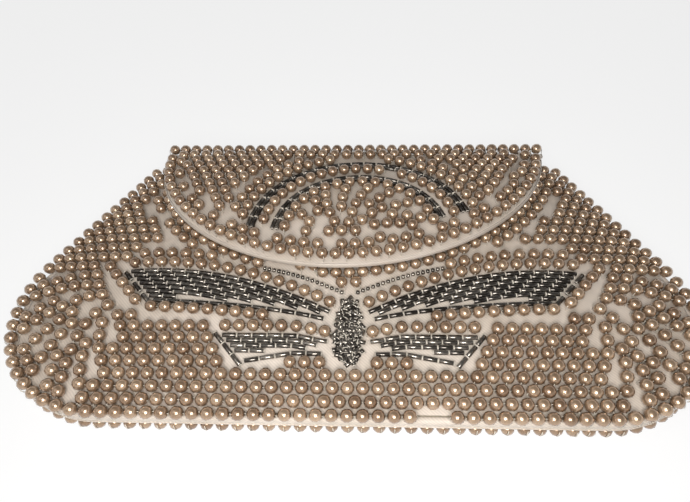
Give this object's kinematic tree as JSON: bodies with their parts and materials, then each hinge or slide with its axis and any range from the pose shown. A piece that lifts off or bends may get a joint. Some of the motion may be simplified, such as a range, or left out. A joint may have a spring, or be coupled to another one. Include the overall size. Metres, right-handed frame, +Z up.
{
  "type": "beaded evening clutch",
  "caption": "Flat envelope evening clutch of satin covered in sewn pearls, with a half-round fold-over flap, a bead bow and a snap closure.",
  "frame": {"origin": "under the middle of the whole bag, on the plane that its back pearls rest on", "axes": "+X along the width to the wearer's right as seen from the front, +Y from the bottom edge to the fold, +Z up from the back to the front"},
  "size_m": [0.2384, 0.1224, 0.0256],
  "materials": {
    "cover_satin": "pale pinkish cream satin",
    "lining_satin": "cream rayon lining",
    "stiffener": "buckram and soft interlining",
    "pearl": "champagne pearl lustre",
    "bugle_glass": "gunmetal glass",
    "snap_metal": "nickel plate"
  },
  "bodies": {
    "pouch": {"back_satin": "cover_satin", "back_board": "stiffener", "back_lining": "lining_satin", "edge_welt": "cover_satin", "back_rim_pearls": "pearl", "back_pearls_left": "pearl", "back_pearls_middle": "pearl", "back_pearls_right": "pearl", "front_lining": "lining_satin", "front_interlining": "stiffener", "front_satin": "cover_satin", "mouth_binding": "cover_satin", "front_border_pearls": "pearl", "front_field_pearls": "pearl", "upper_ribbon_left": "bugle_glass", "upper_ribbon_right": "bugle_glass", "lower_ribbon_left": "bugle_glass", "lower_ribbon_right": "bugle_glass", "bow_knot": "bugle_glass", "seed_line_left": "bugle_glass", "seed_line_right": "bugle_glass", "snap_socket": "snap_metal"},
    "fold_strip_1": {"fold_satin_1": "cover_satin", "fold_lining_1": "lining_satin", "fold_pearls_1": "pearl"},
    "fold_strip_2": {"fold_satin_2": "cover_satin", "fold_lining_2": "lining_satin", "fold_pearls_2": "pearl"},
    "fold_strip_3": {"fold_satin_3": "cover_satin", "fold_lining_3": "lining_satin", "fold_pearls_3": "pearl"},
    "flap": {"flap_crease": "cover_satin", "flap_lining": "lining_satin", "flap_board": "stiffener", "flap_satin": "cover_satin", "flap_binding": "cover_satin", "flap_pearls": "pearl", "flap_outer_arc": "bugle_glass", "flap_inner_arc": "bugle_glass", "snap_stud": "snap_metal"}
  },
  "joints": [
    {"name": "fold_crease_1", "type": "hinge", "parent": "pouch", "child": "fold_strip_1", "pos_m": [0, 0.05262, 0.0056], "axis": [-1, 0, 0], "range_deg": [0, 43]},
    {"name": "fold_crease_2", "type": "hinge", "parent": "fold_strip_1", "child": "fold_strip_2", "pos_m": [0, 0.05559, 0.00857], "axis": [-1, 0, 0], "range_deg": [0, 43]},
    {"name": "fold_crease_3", "type": "hinge", "parent": "fold_strip_2", "child": "fold_strip_3", "pos_m": [0, 0.05559, 0.01277], "axis": [-1, 0, 0], "range_deg": [0, 43]},
    {"name": "fold_crease_4", "type": "hinge", "parent": "fold_strip_3", "child": "flap", "pos_m": [0, 0.05262, 0.01574], "axis": [-1, 0, 0], "range_deg": [0, 43]}
  ],
  "couplings": [
    {"joint": "fold_crease_2", "follows": "fold_crease_1", "ratio": 1},
    {"joint": "fold_crease_3", "follows": "fold_crease_1", "ratio": 1},
    {"joint": "fold_crease_4", "follows": "fold_crease_1", "ratio": 1}
  ]
}
